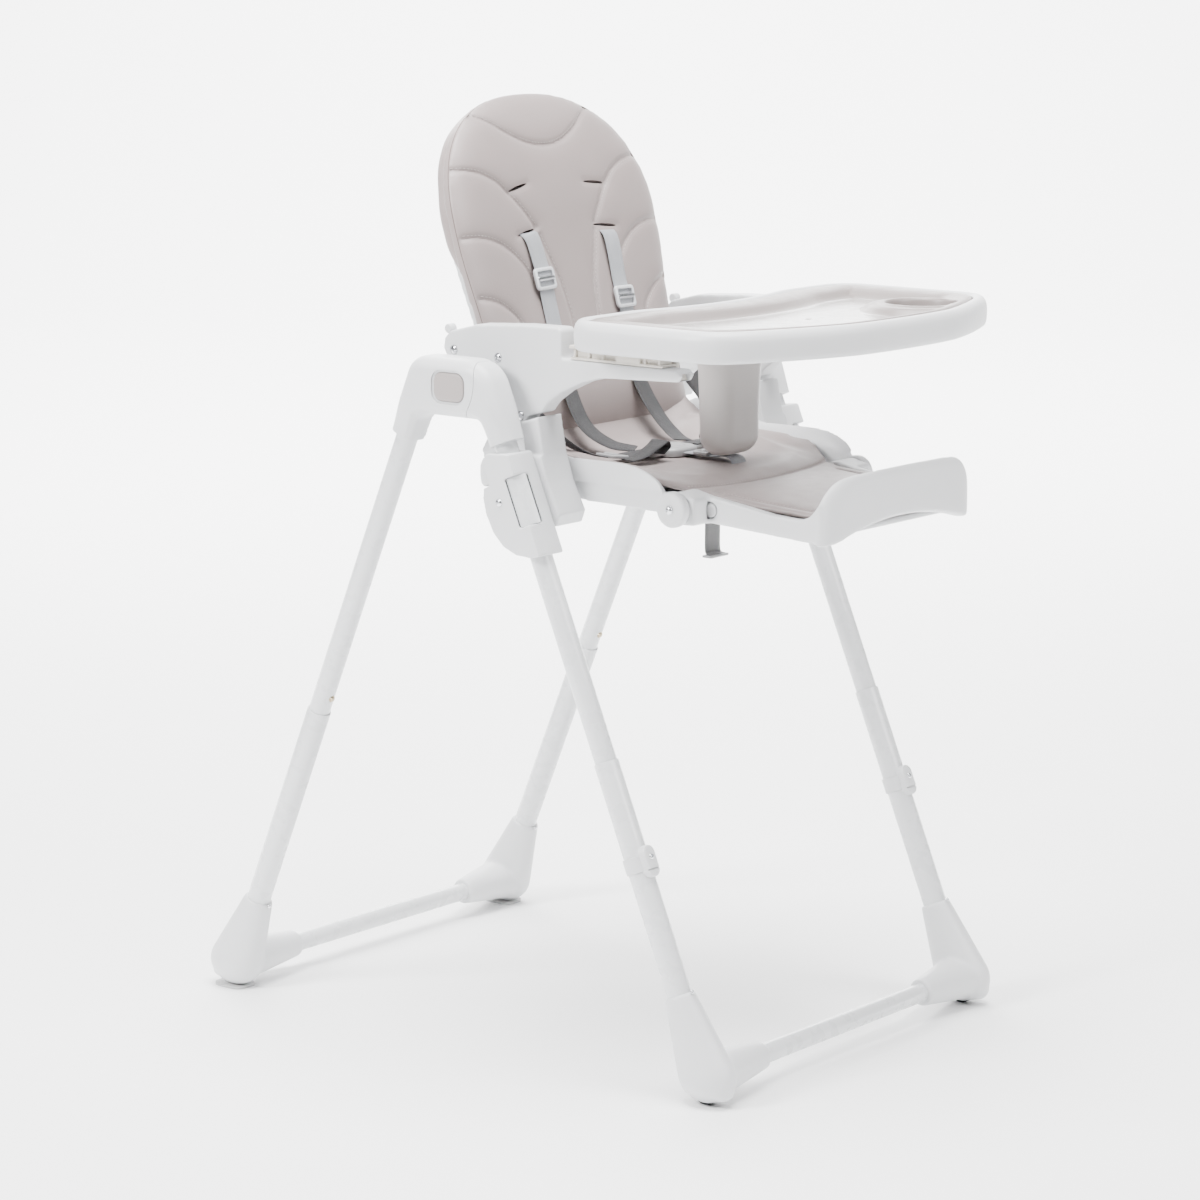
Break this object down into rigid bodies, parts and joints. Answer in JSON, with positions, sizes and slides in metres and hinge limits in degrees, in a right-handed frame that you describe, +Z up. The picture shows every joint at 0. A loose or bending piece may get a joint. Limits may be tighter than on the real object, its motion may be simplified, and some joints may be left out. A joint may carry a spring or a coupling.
{
  "type": "baby high chair",
  "caption": "Folding baby high chair on A-frame tube legs with a height-sliding seat, reclining padded back, folding footrest, sliding tray with lift-out liner, and a harness.",
  "frame": {"origin": "on the ground under the middle of the whole chair", "axes": "+Z up, the chair faces -Y, and +X is the sitting child's left"},
  "size_m": [0.5438, 0.8449, 1.0659],
  "materials": {
    "painted_tube": "gloss white paint on steel tube",
    "white_plastic": "satin moulded white",
    "cream_plastic": "satin moulded cream",
    "taupe_plastic": "satin moulded taupe",
    "faux_leather": "fine-grained taupe faux leather",
    "webbing": "woven light grey webbing",
    "grey_plastic": "satin grey",
    "steel": "bright plated",
    "brass": "dull plated",
    "rubber": "matt black"
  },
  "bodies": {
    "front_frame": {"front_upper_tube_l": "painted_tube", "front_upper_tube_r": "painted_tube", "front_lower_tube_l": "painted_tube", "front_lower_tube_r": "painted_tube", "front_crossbar": "painted_tube", "front_shoe_l": "white_plastic", "front_shoe_r": "white_plastic", "front_elbow_l": "white_plastic", "front_elbow_r": "white_plastic", "pivot_bolts": "steel", "leg_clips": "white_plastic", "front_screws": "steel", "wheel_axles": "steel"},
    "rear_frame": {"rear_upper_tube_l": "painted_tube", "rear_upper_tube_r": "painted_tube", "rear_lower_tube_l": "painted_tube", "rear_lower_tube_r": "painted_tube", "rear_crossbar": "painted_tube", "rear_shoe_l": "white_plastic", "rear_shoe_r": "white_plastic", "rear_elbow_l": "white_plastic", "rear_elbow_r": "white_plastic", "rear_pads": "rubber", "snap_buttons": "brass", "rear_screws": "steel"},
    "seat": {"height_carrier_l": "white_plastic", "height_carrier_r": "white_plastic", "seat_mount_l": "white_plastic", "seat_mount_r": "white_plastic", "side_panel_l": "white_plastic", "side_panel_r": "white_plastic", "seat_bucket": "white_plastic", "seat_screws": "steel", "footrest_pins": "steel", "recline_rod": "steel", "seat_cushion": "faux_leather", "hip_straps": "webbing", "harness_buckle": "grey_plastic", "crotch_strap": "webbing", "strap_tail": "webbing"},
    "backrest": {"backrest_shell": "white_plastic", "backrest_cushion": "faux_leather", "shoulder_straps": "webbing", "strap_adjusters": "grey_plastic"},
    "footrest": {"footrest": "white_plastic", "footrest_cushion": "faux_leather"},
    "tray": {"tray_base": "white_plastic", "tray_runners": "cream_plastic", "crotch_post": "taupe_plastic"},
    "tray_liner": {"tray_liner": "taupe_plastic"},
    "tray_trigger": {"tray_trigger": "cream_plastic"},
    "recline_lever": {"recline_lever": "white_plastic"},
    "front_wheel_l": {"front_wheel_l": "rubber"},
    "fold_button_l": {"fold_button_l": "taupe_plastic"},
    "height_lever_l": {"height_lever_l": "white_plastic"},
    "footrest_button_l": {"footrest_button_l": "white_plastic"},
    "front_wheel_r": {"front_wheel_r": "rubber"},
    "fold_button_r": {"fold_button_r": "taupe_plastic"},
    "height_lever_r": {"height_lever_r": "white_plastic"},
    "footrest_button_r": {"footrest_button_r": "white_plastic"}
  },
  "joints": [
    {"name": "fold", "type": "hinge", "parent": "front_frame", "child": "rear_frame", "pos_m": [0, 0.042, 0.765], "axis": [-1, 0, 0], "range_deg": [0, 44]},
    {"name": "seat_height", "type": "slide", "parent": "front_frame", "child": "seat", "axis": [0, -0.3891, -0.9212], "range_m": [0, 0.18]},
    {"name": "recline", "type": "hinge", "parent": "seat", "child": "backrest", "pos_m": [0, 0.038, 0.672], "axis": [-1, 0, 0], "range_deg": [0, 35]},
    {"name": "footrest_fold", "type": "hinge", "parent": "seat", "child": "footrest", "pos_m": [0, -0.217, 0.633], "axis": [1, 0, 0], "range_deg": [0, 72]},
    {"name": "tray_slide", "type": "slide", "parent": "seat", "child": "tray", "axis": [0, -1, 0], "range_m": [0, 0.075]},
    {"name": "liner_lift", "type": "slide", "parent": "tray", "child": "tray_liner", "axis": [0, 0, 1], "range_m": [0, 0.08]},
    {"name": "tray_release", "type": "slide", "parent": "tray", "child": "tray_trigger", "axis": [0, -1, 0], "range_m": [0, 0.008], "stiffness_N_per_m": 500, "springref_m": -0.002},
    {"name": "recline_release", "type": "slide", "parent": "backrest", "child": "recline_lever", "axis": [0, 0.2756, 0.9613], "range_m": [0, 0.008], "stiffness_N_per_m": 600, "springref_m": -0.003},
    {"name": "wheel_spin_l", "type": "hinge", "parent": "front_frame", "child": "front_wheel_l", "pos_m": [0.247, -0.325, 0.018], "axis": [1, 0, 0], "continuous": true},
    {"name": "fold_release_l", "type": "slide", "parent": "rear_frame", "child": "fold_button_l", "axis": [-1, 0, 0], "range_m": [0, 0.0035], "stiffness_N_per_m": 900, "springref_m": -0.002},
    {"name": "height_release_l", "type": "slide", "parent": "seat", "child": "height_lever_l", "axis": [0, -0.9212, 0.3891], "range_m": [0, 0.005], "stiffness_N_per_m": 900, "springref_m": -0.002},
    {"name": "footrest_release_l", "type": "slide", "parent": "footrest", "child": "footrest_button_l", "axis": [-1, 0, 0], "range_m": [0, 0.003], "stiffness_N_per_m": 700, "springref_m": -0.002},
    {"name": "wheel_spin_r", "type": "hinge", "parent": "front_frame", "child": "front_wheel_r", "pos_m": [-0.247, -0.325, 0.018], "axis": [1, 0, 0], "continuous": true},
    {"name": "fold_release_r", "type": "slide", "parent": "rear_frame", "child": "fold_button_r", "axis": [1, 0, 0], "range_m": [0, 0.0035], "stiffness_N_per_m": 900, "springref_m": -0.002},
    {"name": "height_release_r", "type": "slide", "parent": "seat", "child": "height_lever_r", "axis": [0, -0.9212, 0.3891], "range_m": [0, 0.005], "stiffness_N_per_m": 900, "springref_m": -0.002},
    {"name": "footrest_release_r", "type": "slide", "parent": "footrest", "child": "footrest_button_r", "axis": [1, 0, 0], "range_m": [0, 0.003], "stiffness_N_per_m": 700, "springref_m": -0.002}
  ]
}
